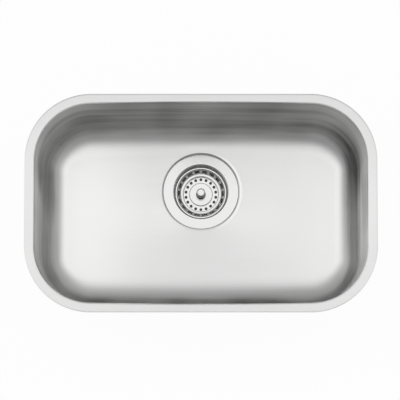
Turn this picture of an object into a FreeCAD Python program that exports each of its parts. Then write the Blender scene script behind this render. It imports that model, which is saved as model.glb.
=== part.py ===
import FreeCAD, Part
import math
import os
import re

import Sketcher
from FreeCAD import Placement, Rotation, Vector

# An undermount kitchen sink: one pressed steel bowl that hangs under a worktop by its flange,
# with a basket strainer clamped through its floor.
# Millimetres and degrees. The origin is the centre of the bowl's opening, on the flange's top face.
# +X is to the right, -Y is the front, where the user stands, and +Z is up.

SHEET = "Sizes"
SIZES = [
    # alias, value, what it is
    ("bowl_long", 500, "opening, left to right"),
    ("bowl_wide", 304, "opening, front to back at the middle"),
    ("bowl_round", 85, "opening corner radius"),
    ("flange_ends", 15, "flange beyond the opening at its left and right ends"),
    ("flange_sides", 13, "flange beyond the opening at its front and back"),
    ("side_bow", 7600, "radius that the front and back walls bow out along"),
    ("bowl_deep", 180, "flange face to the floor at the drain"),
    ("wall_draft", 3.5, "lean of the walls, degrees"),
    ("floor_fall", 0.8, "slope of the floor to the drain, degrees"),
    ("floor_round", 35, "radius between wall and floor"),
    ("sheet", 1, "steel of the bowl"),
    ("rim_bend", 2, "inside radius of the bend under the flange"),
    ("tool_spare", 20, "how far a cutting form runs past what it cuts"),
    ("drain_to_back", 112, "drain axis to the opening's back edge"),
    ("seat_deep", 3, "floor down to the strainer seat"),
    ("seat_step", 2.4, "run of the recess's sloping edge"),
    ("seat_bend", 1.2, "inside radius of the recess's bends"),
    ("seat_gap", 1.6, "strainer flange to the foot of that edge"),
    ("hole_play", 1.5, "strainer well to the hole in the seat"),
    # sound pads
    ("pad_thick", 3, "rubber sound pad"),
    ("pad_round", 18, "sound pad corner radius"),
    ("floor_pad_long", 96, "floor pad, left to right"),
    ("floor_pad_wide", 150, "floor pad, front to back"),
    ("floor_pad_gap", 22, "strainer recess to a floor pad"),
    ("wall_pad_top", 42, "flange face down to a wall pad"),
    ("wall_pad_tall", 84, "height of a wall pad"),
    ("side_pad_long", 250, "pad on the front or back wall"),
    ("end_pad_long", 104, "pad on an end wall"),
    # basket, from its rim inwards and down
    ("basket_across", 80, "basket rim"),
    ("basket_sheet", 0.8, "steel of the basket"),
    ("basket_bend", 1.2, "bends of the basket"),
    ("basket_play", 0.3, "gap under the basket's rim and under its seal"),
    ("rim_width", 3.3, "basket rim"),
    ("rim_round", 0.6, "round of that rim's edge"),
    ("slot_wall_run", 5.2, "slotted wall, how far it leans in"),
    ("slot_wall_drop", 12, "slotted wall, height"),
    ("shelf_run", 3, "shelf under the slotted wall, width"),
    ("shelf_drop", 1.5, "fall of that shelf"),
    ("steep_run", 2.4, "steep wall, how far it leans in"),
    ("steep_drop", 8.5, "steep wall, height"),
    ("valley_width", 5.6, "lowest ring of the basket"),
    ("plateau_run", 3, "slope up to the raised middle, width"),
    ("plateau_rise", 4, "raised middle over the lowest ring"),
    ("slots", 18, "slots round the wall, and holes in each row below"),
    ("slot_angle", 13.7, "one slot, degrees of the turn"),
    ("slot_inset", 0.8, "basket's mouth to the upper end of a slot"),
    ("slot_foot", 0.2, "foot of the slotted wall to the lower end of a slot"),
    ("valley_hole", 3.5, "hole in the lowest ring"),
    ("side_hole", 3, "hole in the steep wall"),
    ("side_hole_drop", 3.2, "shelf down to those holes"),
    # knob, hub, seal and stem
    ("stem_across", 5, "stem"),
    ("stem_slip", 0.1, "gap between stem and hub"),
    ("stem_play", 0.2, "gap at each end of the stem's hold on the hub, and round its head"),
    ("stem_head_tall", 2.4, "height of the stem's head"),
    ("stem_end_gap", 0.5, "stem's end to the socket's floor"),
    ("hub_wall", 1.4, "wall of the hub's sleeve"),
    ("collar_across", 14, "collar of the hub under the basket"),
    ("knob_wall", 1, "wall of the knob at its waist"),
    ("knob_grip", 1, "how far the knob's top stands out from its waist"),
    ("knob_flare", 2.5, "how far its foot does"),
    ("knob_foot_tall", 1.6, "height of the foot's edge"),
    ("knob_grip_tall", 7, "height of the knob's top"),
    ("knob_round", 1.5, "round of the knob's top edge"),
    ("knob_tall", 25, "height of the knob"),
    ("knob_bore_deep", 12, "depth of the knob's bore"),
    ("valley_gap", 1.2, "basket down to the plate over the seal"),
    ("plate_thick", 0.8, "plate over the seal"),
    ("plate_inset", 3.5, "seal's edge to the plate's edge"),
    ("seal_web", 3, "rubber seal of the basket"),
    ("seal_gap", 4.9, "seal's edge to the strainer's wall"),
    ("seal_bevel", 1, "height of the bevel round the seal's top"),
    ("seal_lip", 3, "width of the seal's lip"),
    ("seal_lip_tall", 1, "height of that lip"),
    ("retainer_across", 18, "washer under the seal"),
    ("retainer_thick", 0.8, "thickness of that washer"),
    ("clip_across", 9, "clip on the stem"),
    ("clip_thick", 0.8, "thickness of the clip"),
    ("clip_mouth", 2.9, "width of the clip's open side"),
    ("clip_bite", 0.7, "depth of the stem's groove for the clip"),
    ("clip_gap", 0.5, "clip down to the screw's head"),
    ("ring_thick", 1.2, "rubber ring on the stem"),
    ("ring_play", 0.1, "gap between that ring and its socket"),
    ("ring_drop", 6, "screw's head down to that ring"),
    # strainer body, levels from the seat's top face
    ("dish_across", 114, "strainer flange"),
    ("dish_sheet", 1, "steel of the strainer body"),
    ("dish_crown", 0.7, "rise of the flange from its edge"),
    ("dish_edge_gap", 0.2, "flange's turned-down edge to the seat"),
    ("dish_mouth_bend", 3, "bend from the flange into the well"),
    ("dish_bend", 1.2, "other bends of the strainer body"),
    ("well_play", 1, "basket's rim to the well's wall"),
    ("well_lean", 1.5, "how much the well narrows to its ledge"),
    ("ledge_deep", 15, "seat down to the basket's ledge"),
    ("cup_play", 0.4, "basket's wall to the cup's mouth"),
    ("cup_lean", 1.5, "how much the lower cup narrows to its floor"),
    ("cup_bend", 4, "bend at the cup's floor"),
    ("dimple_play", 1.3, "washer to the dimple's wall"),
    ("dimple_lean", 1.2, "how much the screw's dimple narrows"),
    ("dish_holes", 8, "water holes in the strainer's floor"),
    ("dish_hole_across", 9, "one water hole"),
    ("dish_hole_edge", 2.5, "dimple to a water hole"),
    ("dish_seal_thick", 1.5, "seal between strainer flange and seat"),
    ("body_seal_thick", 3, "seal between seat and waste body"),
    ("seal_inset", 1.5, "seal to the edges beside it"),
    # centre screw
    ("screw_across", 10, "screw thread"),
    ("screw_long", 16, "screw under its head"),
    ("screw_point", 1, "bevel at the screw's end"),
    ("head_edge", 3, "how far the screw's head stands out"),
    ("head_tall", 5, "height of the screw's head"),
    ("head_round", 1.2, "round of the head's upper edge"),
    ("slot_wide", 2, "coin slot in the head"),
    ("slot_deep", 1.5, "depth of that slot"),
    ("washer_edge", 0.5, "how far the washer stands out from the head"),
    ("washer_thick", 1, "washer under the head"),
    ("thread_play", 0.1, "gap round the screw"),
    ("socket_play", 0.3, "gap between the stem and the hole in the screw"),
    ("socket_deep", 9.5, "depth of that hole"),
    # waste body
    ("waste_inset", 2, "strainer flange's edge to the waste body's"),
    ("waste_flange", 4, "waste body flange"),
    ("waste_wall", 3, "wall of the waste body"),
    ("waste_lean", 2.5, "how much it narrows to its funnel"),
    ("waste_bend", 5, "bend from its wall into the funnel"),
    ("funnel_gap", 2, "strainer's floor down to the funnel"),
    ("funnel_fall", 11, "height of the funnel"),
    ("outlet_across", 47.8, "outlet, outside of its one and a half inch pipe thread"),
    ("outlet_wall", 3.9, "wall of the outlet"),
    ("outlet_long", 22, "length of the outlet"),
    ("rib_thick", 2.5, "rib of the waste body"),
    ("rib_root", 0.6, "how deep a rib's foot lies in the wall"),
    ("rib_inset", 1, "rib's end to the edge of the waste body's flange"),
    ("waste_corner", 1, "round between the waste body's wall and its flange"),
    ("inner_ribs", 3, "ribs that carry the screw's boss"),
    ("inner_rib_rise", 1, "those ribs over the outlet's bore"),
    ("outer_ribs", 12, "ribs under the waste body's flange"),
    ("outer_rib_tall", 26, "height of one of those ribs"),
    ("boss_wall", 2.5, "boss round the brass insert"),
    ("boss_tall", 18, "height of that boss"),
    ("insert_wall", 2, "wall of the brass insert"),
    ("insert_tall", 14, "height of the insert"),
    ("insert_cover", 2, "plastic over the insert"),
]

# The drain's axis, behind the bowl's centre.
DRAIN_BACK = "(bowl_wide / 2 - drain_to_back)"

# Outline of the flange.
FLANGE_LONG = "(bowl_long + 2 * flange_ends)"
FLANGE_WIDE = "(bowl_wide + 2 * flange_sides)"
FLANGE_ROUND = "(bowl_round + flange_ends)"

# Radii of the strainer, outwards from the drain's axis.
STEM = "stem_across / 2"
HUB_BORE = f"({STEM} + stem_slip)"
HUB = f"({HUB_BORE} + hub_wall)"
STEM_HEAD = f"({HUB} - stem_play)"
KNOB_WAIST = f"({HUB} + knob_wall)"
KNOB_FOOT = f"({KNOB_WAIST} + knob_flare)"
MOUTH = "(basket_across / 2 - rim_width)"
SHELF = f"({MOUTH} - slot_wall_run)"
STEEP = f"({SHELF} - shelf_run)"
VALLEY = f"({STEEP} - steep_run)"
VALLEY_INNER = f"({VALLEY} - valley_width)"
PLATEAU_EDGE = f"({VALLEY_INNER} - plateau_run)"
CUP = f"({MOUTH} + basket_sheet + cup_play)"
CUP_FOOT = f"({CUP} - cup_lean)"
SEAL = f"({CUP_FOOT} - seal_gap)"
LEDGE = "(basket_across / 2 + well_play)"
WELL = f"({LEDGE} + well_lean)"
SEAT_HOLE = f"({WELL} + dish_sheet + hole_play)"
SEAT_FOOT = "(dish_across / 2 + seat_gap)"
SEAT_EDGE = f"({SEAT_FOOT} + seat_step)"
SCREW = "(screw_across / 2)"
HEAD = f"({SCREW} + head_edge)"
WASHER = f"({HEAD} + washer_edge)"
DIMPLE = f"({WASHER} + dimple_play)"
DIMPLE_MOUTH = f"({DIMPLE} + dimple_lean)"
SOCKET = f"({STEM} + socket_play)"
INSERT = f"({SCREW} + insert_wall)"
BOSS = f"({INSERT} + boss_wall)"
OUTLET_BORE = "(outlet_across / 2 - outlet_wall)"
WASTE_FOOT = f"({SEAT_HOLE} - waste_lean)"
WASTE_EDGE = "(dish_across / 2 - waste_inset)"

# Levels of the strainer, counted from the seat's top face and going down.
FLANGE_TOP = "(dish_seal_thick + dish_sheet)"
RIM_TOP = "(basket_play + basket_sheet - ledge_deep)"
SHELF_TOP = f"({RIM_TOP} - slot_wall_drop)"
STEEP_TOP = f"({SHELF_TOP} - shelf_drop)"
VALLEY_TOP = f"({STEEP_TOP} - steep_drop)"
PLATEAU_TOP = f"({VALLEY_TOP} + plateau_rise)"
PLATE_TOP = f"({VALLEY_TOP} - basket_sheet - valley_gap)"
SEAL_TOP = f"({PLATE_TOP} - plate_thick)"
WEB_FOOT = f"({SEAL_TOP} - seal_web)"
LIP_FOOT = f"({WEB_FOOT} - seal_lip_tall)"
CUP_FLOOR = f"({LIP_FOOT} - basket_play)"
RETAINER_FOOT = f"({WEB_FOOT} - retainer_thick)"
CLIP_TOP = f"({RETAINER_FOOT} - stem_play)"
CLIP_FOOT = f"({CLIP_TOP} - clip_thick)"
HEAD_TOP = f"({CLIP_FOOT} - clip_gap)"
HEAD_FOOT = f"({HEAD_TOP} - head_tall)"
DIMPLE_FLOOR = f"({HEAD_FOOT} - washer_thick)"
SOCKET_FLOOR = f"({HEAD_TOP} - socket_deep)"
BOSS_TOP = f"({DIMPLE_FLOOR} - dish_sheet)"
BOSS_FOOT = f"({BOSS_TOP} - boss_tall)"
INSERT_TOP = f"({BOSS_TOP} - insert_cover)"
INSERT_FOOT = f"({INSERT_TOP} - insert_tall)"
WASTE_TOP = "(-sheet - body_seal_thick)"
FUNNEL_TOP = f"({CUP_FLOOR} - dish_sheet - funnel_gap)"
FUNNEL_FOOT = f"({FUNNEL_TOP} - funnel_fall)"
OUTLET_FOOT = f"({FUNNEL_FOOT} - outlet_long)"
KNOB_TOP = f"({PLATEAU_TOP} + knob_tall)"
BORE_TOP = f"({PLATEAU_TOP} + knob_bore_deep)"
STEM_TOP = f"({BORE_TOP} - stem_play)"
STEM_HEAD_FOOT = f"({STEM_TOP} - stem_head_tall)"
HUB_TOP = f"({STEM_HEAD_FOOT} - stem_play)"

doc = FreeCAD.newDocument("undermount_sink")
sizes = doc.addObject("Spreadsheet::Sheet", SHEET)
for row, (alias, amount, meaning) in enumerate(SIZES, start=1):
    sizes.set(f"A{row}", meaning)
    sizes.set(f"B{row}", str(amount))
    sizes.setAlias(f"B{row}", alias)
doc.recompute()

ALIASES = {alias for alias, _, _ in SIZES}
nodes = {}


# ---- sizes and bindings ----

def bound(text):
    """The expression with the sheet's name before each alias in it."""
    return re.sub(r"[a-z_]+", lambda word: f"{SHEET}.{word[0]}" if word[0] in ALIASES else word[0], text)


def value(text):
    """What an expression on the sheet comes to now."""
    result = sizes.evalExpression(bound(text))
    return float(getattr(result, "Value", result))


def bind(thing, field, text):
    thing.setExpression(field, bound(text))


# ---- sketches ----

def origin_plane(body, role):
    return next(item for item in body.Origin.OriginFeatures if item.Role == role)


def new_body(label):
    body = doc.addObject("PartDesign::Body", label)
    body.Label = label
    return body


def new_sketch(body, name, role, offset="0", turn="0"):
    """An empty sketch on one of the body's planes, offset along the plane's normal and turned about Z."""
    sketch = body.newObject("Sketcher::SketchObject", name)
    sketch.AttachmentSupport = (origin_plane(body, role), [""])
    sketch.MapMode = "FlatFace"
    upright = Vector(0, 0, 1) if role == "XY_Plane" else Vector(0, 1, 0)
    sketch.AttachmentOffset = Placement(Vector(0, 0, value(offset)), Rotation(upright, value(turn)))
    bind(sketch, "AttachmentOffset.Base.z", offset)
    if turn != "0":
        bind(sketch, "AttachmentOffset.Rotation.Angle", turn)
    return sketch


def dimension(sketch, text, kind, *places):
    """A sketch dimension that follows an expression on the sheet."""
    index = sketch.addConstraint(Sketcher.Constraint(kind, *places, value(text)))
    bind(sketch, f"Constraints[{index}]", text)


def place_point(sketch, geometry, end, across, up):
    """Ties a point to the sketch's origin, on an axis where its distance is nil."""
    if across == "0":
        sketch.addConstraint(Sketcher.Constraint("PointOnObject", geometry, end, -2))
    else:
        dimension(sketch, across, "DistanceX", -1, 1, geometry, end)
    if up == "0":
        sketch.addConstraint(Sketcher.Constraint("PointOnObject", geometry, end, -1))
    else:
        dimension(sketch, up, "DistanceY", -1, 1, geometry, end)


def arc(centre, radius, start, end):
    circle = Part.Circle(centre, Vector(0, 0, 1), radius)
    return Part.ArcOfCircle(circle, start, end)


def heading(vector):
    return math.atan2(vector.y, vector.x)


def corner_arc(before, corner, after, radius):
    """The arc that rounds a corner, where it starts and ends, and whether it runs against the outline."""
    back = (before - corner).normalize()
    ahead = (after - corner).normalize()
    half = back.getAngle(ahead) / 2
    centre = corner + (back + ahead).normalize() * (radius / math.sin(half))
    first = corner + back * (radius / math.tan(half))
    last = corner + ahead * (radius / math.tan(half))
    against = back.cross(ahead).z > 0
    start, end = (last, first) if against else (first, last)
    return arc(centre, radius, heading(start - centre), heading(end - centre)), first, last, against


def closed_profile(sketch, corners):
    """Draws a closed outline through corners, each (across, up) or (across, up, round)."""
    points = [Vector(value(item[0]), value(item[1]), 0) for item in corners]
    count = len(corners)
    arcs, leaves, arrives = {}, list(points), list(points)
    for i, item in enumerate(corners):
        if len(item) == 3:
            rounded = corner_arc(points[i - 1], points[i], points[(i + 1) % count], value(item[2]))
            arrives[i], leaves[i] = rounded[1], rounded[2]
            arcs[i] = (sketch.addGeometry(rounded[0]), rounded[3])
    lines = [
        sketch.addGeometry(Part.LineSegment(leaves[i], arrives[(i + 1) % count]))
        for i in range(count)
    ]
    for i, item in enumerate(corners):
        line_in, line_out = lines[i - 1], lines[i]
        if i not in arcs:
            sketch.addConstraint(Sketcher.Constraint("Coincident", line_in, 2, line_out, 1))
            place_point(sketch, line_out, 1, item[0], item[1])
            continue
        bend, against = arcs[i]
        first, last = (2, 1) if against else (1, 2)
        sketch.addConstraint(Sketcher.Constraint("Tangent", line_in, 2, bend, first))
        sketch.addConstraint(Sketcher.Constraint("Tangent", bend, last, line_out, 1))
        dimension(sketch, item[2], "Radius", bend)
        mark = sketch.addGeometry(Part.Point(points[i]), True)
        sketch.addConstraint(Sketcher.Constraint("PointOnObject", mark, 1, line_in))
        sketch.addConstraint(Sketcher.Constraint("PointOnObject", mark, 1, line_out))
        place_point(sketch, mark, 1, item[0], item[1])


def rounded_rectangle(sketch, across, up, long, tall, corner):
    """A rectangle centred on (across, up), with one radius at all four corners."""
    left, right = f"{across} - ({long}) / 2", f"{across} + ({long}) / 2"
    low, high = f"{up} - ({tall}) / 2", f"{up} + ({tall}) / 2"
    closed_profile(
        sketch,
        [(right, low, corner), (right, high, corner), (left, high, corner), (left, low, corner)],
    )


def circle(sketch, across, up, diameter):
    index = sketch.addGeometry(Part.Circle(Vector(value(across), value(up), 0), Vector(0, 0, 1), 1))
    place_point(sketch, index, 3, across, up)
    dimension(sketch, diameter, "Diameter", index)


def bowed_outline(sketch, long, wide, corner, bow):
    """A rounded rectangle whose front and back sides bow outwards along a large radius."""
    half, side = value(f"({long}) / 2"), value(f"({wide}) / 2")
    small, large = value(corner), value(bow)
    drop = side - large
    reach = half - small
    rise = drop + math.sqrt((large - small) ** 2 - reach**2)
    lean = math.atan2(rise - drop, reach)
    turn = 2 * math.pi
    pieces = [
        arc(Vector(0, drop, 0), large, lean, math.pi - lean),
        arc(Vector(-reach, rise, 0), small, math.pi - lean, math.pi),
        Part.LineSegment(Vector(-half, rise, 0), Vector(-half, -rise, 0)),
        arc(Vector(-reach, -rise, 0), small, math.pi, math.pi + lean),
        arc(Vector(0, -drop, 0), large, math.pi + lean, turn - lean),
        arc(Vector(reach, -rise, 0), small, turn - lean, turn),
        Part.LineSegment(Vector(half, -rise, 0), Vector(half, rise, 0)),
        arc(Vector(reach, rise, 0), small, 0, lean),
    ]
    sketch.addGeometry(pieces, False)
    back, left, front, right = 0, 2, 4, 6
    corners = [1, 3, 5, 7]
    for i in range(len(pieces)):
        sketch.addConstraint(Sketcher.Constraint("Tangent", i, 2, (i + 1) % len(pieces), 1))
    for end in (left, right):
        sketch.addConstraint(Sketcher.Constraint("Vertical", end))
    for side_arc in (back, front):
        sketch.addConstraint(Sketcher.Constraint("PointOnObject", side_arc, 3, -2))
    for other in corners[1:]:
        sketch.addConstraint(Sketcher.Constraint("Equal", corners[0], other))
    sketch.addConstraint(Sketcher.Constraint("Equal", back, front))
    dimension(sketch, corner, "Radius", corners[0])
    dimension(sketch, bow, "Radius", back)
    dimension(sketch, f"({long}) / 2", "DistanceX", -1, 1, right, 1)
    dimension(sketch, f"({long}) / 2", "DistanceX", left, 1, -1, 1)
    dimension(sketch, f"({wide}) / 2 - ({bow})", "DistanceY", -1, 1, back, 3)
    dimension(sketch, f"({wide}) / 2 - ({bow})", "DistanceY", front, 3, -1, 1)


# ---- features ----

def pad(body, sketch, length, down=False, both=False):
    feature = body.newObject("PartDesign::Pad", sketch.Name + "_pad")
    feature.Profile = sketch
    feature.Midplane = both
    feature.Reversed = down
    bind(feature, "Length", length)
    return feature


def pocket(body, sketch, length, up=False):
    feature = body.newObject("PartDesign::Pocket", sketch.Name + "_pocket")
    feature.Profile = sketch
    feature.Reversed = up
    bind(feature, "Length", length)
    return feature


def turned(body, sketch, cut=False):
    """A sketch turned about its own upright axis, as added metal or as a cut."""
    kind = "PartDesign::Groove" if cut else "PartDesign::Revolution"
    feature = body.newObject(kind, sketch.Name + "_turned")
    feature.Profile = sketch
    feature.ReferenceAxis = (sketch, ["V_Axis"])
    feature.Angle = 360
    return feature


def around(body, feature, count):
    """Repeats a feature round the body's Z axis."""
    pattern = body.newObject("PartDesign::PolarPattern", feature.Name + "_ring")
    pattern.Originals = [feature]
    pattern.Axis = (origin_plane(body, "Z_Axis"), [""])
    pattern.Angle = 360
    bind(pattern, "Occurrences", count)
    body.Tip = pattern
    return pattern


def round_edges(body, feature, name, radius, wanted):
    """Fillets the edges of a feature that pass a test."""
    doc.recompute()
    edges = feature.Shape.Edges
    picked = [f"Edge{i}" for i, edge in enumerate(edges, start=1) if wanted(edge)]
    fillet = body.newObject("PartDesign::Fillet", name)
    fillet.Base = (feature, picked)
    bind(fillet, "Radius", radius)
    body.Tip = fillet
    return fillet


def turned_part(label, corners):
    """A piece of the strainer turned about the drain's axis. Its levels are counted from the seat."""
    body = new_body(label)
    sketch = new_sketch(body, label + "_profile", "XZ_Plane")
    closed_profile(sketch, corners)
    turned(body, sketch)
    at_drain(body)
    nodes[label] = body
    return body


def at_drain(body):
    bind(body, ".Placement.Base.y", DRAIN_BACK)
    bind(body, ".Placement.Base.z", "-(bowl_deep + seat_deep)")


# ---- bowl ----

def is_level(edge, height, slack=0.01):
    box = edge.BoundBox
    return abs(box.ZMax - height) < slack and abs(box.ZMin - height) < slack


def bowl_form(name, grow):
    """The space inside the bowl, offset outwards by grow: leaning walls, a floor that falls to the drain
    and a round between them."""
    body = new_body(name)
    outline = new_sketch(body, name + "_outline", "XY_Plane")
    side = f"2 * ({grow}) / cos(wall_draft)"
    widened = f"({grow}) / cos(wall_draft)"
    bowed_outline(
        outline,
        f"bowl_long + {side}",
        f"bowl_wide + {side}",
        f"bowl_round + {widened}",
        f"side_bow + {widened}",
    )
    bottom = f"bowl_deep + ({grow}) + tool_spare"
    block = pad(body, outline, bottom, down=True)
    doc.recompute()
    walls = [
        f"Face{i}"
        for i, face in enumerate(block.Shape.Faces, start=1)
        if face.BoundBox.ZLength > value("bowl_deep")
    ]
    draft = body.newObject("PartDesign::Draft", name + "_draft")
    draft.Base = (block, walls)
    draft.NeutralPlane = (origin_plane(body, "XY_Plane"), [""])
    draft.Reversed = True
    bind(draft, "Angle", "wall_draft")
    body.Tip = draft

    under = new_sketch(body, name + "_fall", "XZ_Plane", offset=f"-{DRAIN_BACK}")
    floor = f"-bowl_deep - ({grow}) / cos(floor_fall)"
    closed_profile(
        under,
        [
            ("0", floor),
            (SEAT_FOOT, floor),
            ("bowl_long", f"{floor} + (bowl_long - {SEAT_FOOT}) * tan(floor_fall)"),
            ("bowl_long", f"-({bottom}) - tool_spare"),
            ("0", f"-({bottom}) - tool_spare"),
        ],
    )
    fall = turned(body, under, cut=True)
    body.Tip = fall
    doc.recompute()
    drain = Vector(0, value(DRAIN_BACK), 0)

    def at_floor_edge(edge):
        middle = edge.valueAt((edge.FirstParameter + edge.LastParameter) / 2)
        along_drain = Vector(middle.x, middle.y, 0).distanceToPoint(drain) < value(SEAT_EDGE)
        seam = len(fall.Shape.ancestorsOfType(edge, Part.Face)) < 2
        return edge.BoundBox.ZMax < -value("bowl_deep") / 2 and not along_drain and not seam

    round_edges(body, fall, name + "_round", f"floor_round + ({grow})", at_floor_edge)
    return body


def seat_form(name, grow, hole):
    """The strainer's recess in the floor: a sloping edge down to a flat seat, offset downwards by grow."""
    body = new_body(name)
    sketch = new_sketch(body, name + "_profile", "XZ_Plane")
    level = f"-({grow})"
    foot = f"{SEAT_FOOT} + ({grow}) * tan(atan(seat_deep / seat_step) / 2)"
    top = "seat_deep + sheet / 2"
    closed_profile(
        sketch,
        [
            ("0", level),
            (foot, level, f"seat_bend + ({grow})"),
            (f"{foot} + seat_step * ({top} + ({grow})) / seat_deep", top),
            ("0", top),
        ],
    )
    turned(body, sketch)
    if hole:
        bore = new_sketch(body, name + "_bore", "XY_Plane", offset="tool_spare")
        circle(bore, "0", "0", f"2 * {SEAT_HOLE}")
        pad(body, bore, "2 * tool_spare", down=True)
    at_drain(body)
    return body


def fused(name, parts):
    fuse = doc.addObject("Part::MultiFuse", name)
    fuse.Shapes = parts
    return fuse


def cut(name, base, tool):
    feature = doc.addObject("Part::Cut", name)
    feature.Base = base
    feature.Tool = tool
    return feature


def bowl():
    """The pressed bowl: its outside form and flange, less its inside, with every bend rounded."""
    plate = new_body("flange_plate")
    outline = new_sketch(plate, "flange_outline", "XY_Plane")
    rounded_rectangle(outline, "0", "0", FLANGE_LONG, FLANGE_WIDE, FLANGE_ROUND)
    pad(plate, outline, "sheet", down=True)
    metal = fused("bowl_metal", [outside_form, plate, seat_form("seat_outside", "sheet", hole=False)])
    air = fused("bowl_air", [inside_form, seat_form("seat_inside", "0", hole=True)])
    pressed = cut("bowl_pressed", metal, air)
    doc.recompute()

    body = new_body("bowl_shell")
    body.BaseFeature = pressed
    doc.recompute()
    sheet, floor = value("sheet"), -value("bowl_deep")
    right = value("bowl_long / 2 + 2 * sheet")
    back = value("bowl_wide / 2 + 2 * sheet")

    def in_opening(edge):
        box = edge.BoundBox
        return max(-box.XMin, box.XMax) < right and max(-box.YMin, box.YMax) < back

    def rim_top(edge):
        return is_level(edge, 0) and in_opening(edge)

    def rim_under(edge):
        return is_level(edge, -sheet) and in_opening(edge)

    def seat_top(edge):
        return is_level(edge, floor, sheet / 4)

    def seat_under(edge):
        return is_level(edge, floor - sheet, sheet / 4)

    bend = round_edges(body, body.Tip, "rim_top_bend", "rim_bend + sheet", rim_top)
    bend = round_edges(body, bend, "rim_under_bend", "rim_bend", rim_under)
    bend = round_edges(body, bend, "seat_top_bend", "seat_bend + sheet", seat_top)
    round_edges(body, bend, "seat_under_bend", "seat_bend", seat_under)
    nodes["bowl_shell"] = body


def sound_pads():
    """Rubber pads that lie on the bowl's outside, two under its floor and one on each wall."""
    coat = cut("pad_coat", bowl_form("pad_outside", "sheet + pad_thick"), outside_form)
    floor_x = f"{SEAT_EDGE} + floor_pad_gap + floor_pad_long / 2"
    wall_z = "-(wall_pad_top + wall_pad_tall / 2)"
    places = [
        # label, plane, across, up, long, tall, against the plane's normal
        ("floor_pad_left", "XY_Plane", f"-({floor_x})", "0", "floor_pad_long", "floor_pad_wide", True),
        ("floor_pad_right", "XY_Plane", floor_x, "0", "floor_pad_long", "floor_pad_wide", True),
        ("wall_pad_front", "XZ_Plane", "0", wall_z, "side_pad_long", "wall_pad_tall", False),
        ("wall_pad_back", "XZ_Plane", "0", wall_z, "side_pad_long", "wall_pad_tall", True),
        ("wall_pad_left", "YZ_Plane", "0", wall_z, "end_pad_long", "wall_pad_tall", True),
        ("wall_pad_right", "YZ_Plane", "0", wall_z, "end_pad_long", "wall_pad_tall", False),
    ]
    for label, plane, across, up, long, tall, against in places:
        body = new_body(label + "_outline")
        sketch = new_sketch(body, label + "_sketch", plane)
        rounded_rectangle(sketch, across, up, long, tall, "pad_round")
        pad(body, sketch, "bowl_long", down=against)
        piece = doc.addObject("Part::Common", label)
        piece.Base = coat
        piece.Tool = body
        nodes[label] = piece


# ---- strainer ----

def ring(label, inner, outer, foot, top):
    """A flat ring of the strainer, such as a washer or a plate."""
    return turned_part(label, [(inner, foot), (outer, foot), (outer, top), (inner, top)])


def strainer_dish():
    """The strainer body: a flange in the floor's recess, a well with a ledge for the basket, and a cup
    with water holes and a dimple for the screw."""
    edge = "dish_across / 2"
    rim = f"{FLANGE_TOP} - dish_crown"
    body = turned_part(
        "strainer_dish",
        [
            (edge, "dish_edge_gap"),
            (edge, rim, "dish_bend"),
            (WELL, FLANGE_TOP, "dish_mouth_bend"),
            (LEDGE, "-ledge_deep", "dish_bend"),
            (CUP, "-ledge_deep", "dish_bend"),
            (CUP_FOOT, CUP_FLOOR, "cup_bend"),
            (DIMPLE_MOUTH, CUP_FLOOR, "dish_bend"),
            (DIMPLE, DIMPLE_FLOOR, "dish_bend / 2"),
            (f"{SCREW} + thread_play", DIMPLE_FLOOR),
            (f"{SCREW} + thread_play", BOSS_TOP),
            (f"{DIMPLE} + dish_sheet", BOSS_TOP, "dish_bend / 2 + dish_sheet"),
            (f"{DIMPLE_MOUTH} + dish_sheet", f"{CUP_FLOOR} - dish_sheet"),
            (f"{CUP_FOOT} + dish_sheet", f"{CUP_FLOOR} - dish_sheet", "cup_bend + dish_sheet"),
            (f"{CUP} + dish_sheet", "-ledge_deep - dish_sheet"),
            (f"{LEDGE} + dish_sheet", "-ledge_deep - dish_sheet", "dish_bend + dish_sheet"),
            (f"{WELL} + dish_sheet", "dish_seal_thick", "dish_mouth_bend - dish_sheet"),
            (f"{edge} - dish_sheet", f"{rim} - dish_sheet"),
            (f"{edge} - dish_sheet", "dish_edge_gap"),
        ],
    )
    holes = new_sketch(body, "dish_hole", "XY_Plane")
    circle(holes, f"{DIMPLE_MOUTH} + dish_hole_edge + dish_hole_across / 2", "0", "dish_hole_across")
    around(body, pocket(body, holes, f"-({BOSS_TOP})"), "dish_holes")


def seals():
    """The foam ring under the strainer's flange, which takes the flange's slope, and the ring under the
    bowl's seat."""
    inner = f"{SEAT_HOLE} + seal_inset"
    outer = "dish_across / 2 - dish_sheet - seal_inset"
    slope = f"dish_crown / (dish_across / 2 - dish_sheet - {WELL} - dish_sheet)"
    low = f"dish_seal_thick - ({outer} - {WELL} - dish_sheet) * {slope}"
    high = f"dish_seal_thick - ({inner} - {WELL} - dish_sheet) * {slope}"
    turned_part("dish_seal", [(inner, "0"), (outer, "0"), (outer, low), (inner, high)])
    ring("body_seal", inner, f"{WASTE_EDGE} - seal_inset", WASTE_TOP, "-sheet")


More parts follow.
